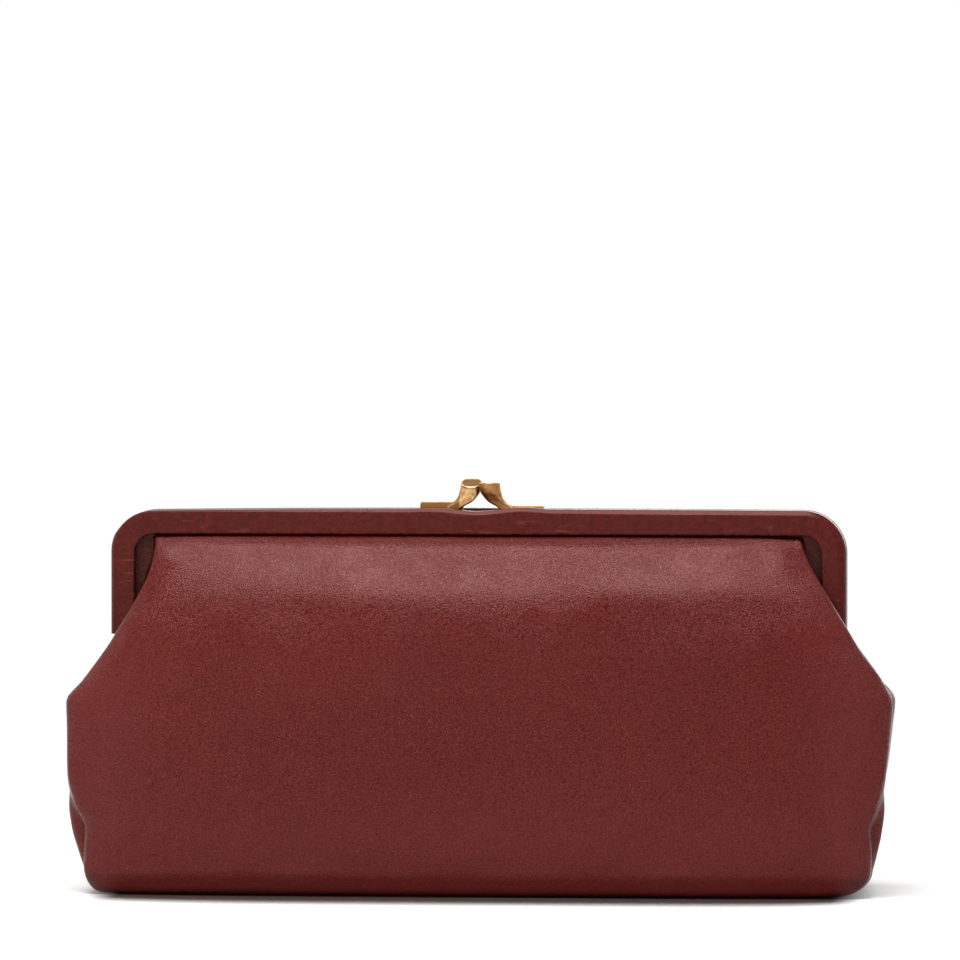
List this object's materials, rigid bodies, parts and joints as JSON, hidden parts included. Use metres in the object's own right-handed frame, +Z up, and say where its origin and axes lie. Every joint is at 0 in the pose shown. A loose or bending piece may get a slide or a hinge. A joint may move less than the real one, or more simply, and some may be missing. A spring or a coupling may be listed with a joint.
{
  "type": "clasp-top pochette",
  "caption": "Leather pochette on a hinged, leather-covered frame that opens at the top and is held shut by two crossed brass horns.",
  "frame": {"origin": "On the floor under the middle of the closed bag.", "axes": "+X across the bag to the right of someone who faces its front, +Y from its front to its back, +Z up."},
  "size_m": [0.2754, 0.063, 0.1381],
  "materials": {
    "body_leather": "pebbled, satin",
    "frame_leather": "smooth, lightly marked",
    "lining_cloth": "matt twill",
    "base_board": "plain",
    "frame_steel": "plain",
    "clasp_brass": "antique, satin",
    "channel_paper": "twisted cord"
  },
  "bodies": {
    "bag": {"front_panel": "body_leather", "back_panel": "body_leather", "front_lining": "lining_cloth", "back_lining": "lining_cloth", "base_board": "base_board", "left_hinge_rivet": "clasp_brass", "right_hinge_rivet": "clasp_brass"},
    "front_half": {"front_frame": "frame_steel", "front_frame_cover": "frame_leather", "front_channel_cord": "channel_paper", "front_clasp_horn": "clasp_brass", "front_clasp_rivet_1": "clasp_brass", "front_clasp_rivet_2": "clasp_brass"},
    "back_half": {"back_frame": "frame_steel", "back_frame_cover": "frame_leather", "back_channel_cord": "channel_paper", "back_clasp_horn": "clasp_brass", "back_clasp_rivet_1": "clasp_brass", "back_clasp_rivet_2": "clasp_brass"}
  },
  "joints": [
    {"name": "front_half_open", "type": "hinge", "parent": "bag", "child": "front_half", "pos_m": [0, 0, 0.078], "axis": [1, 0, 0], "range_deg": [0, 45], "deforming": ["front_panel", "front_lining"]},
    {"name": "back_half_open", "type": "hinge", "parent": "bag", "child": "back_half", "pos_m": [0, 0, 0.078], "axis": [-1, 0, 0], "range_deg": [0, 45], "deforming": ["back_panel", "back_lining"]}
  ],
  "couplings": [
    {"joint": "back_half_open", "follows": "front_half_open", "ratio": 1}
  ]
}
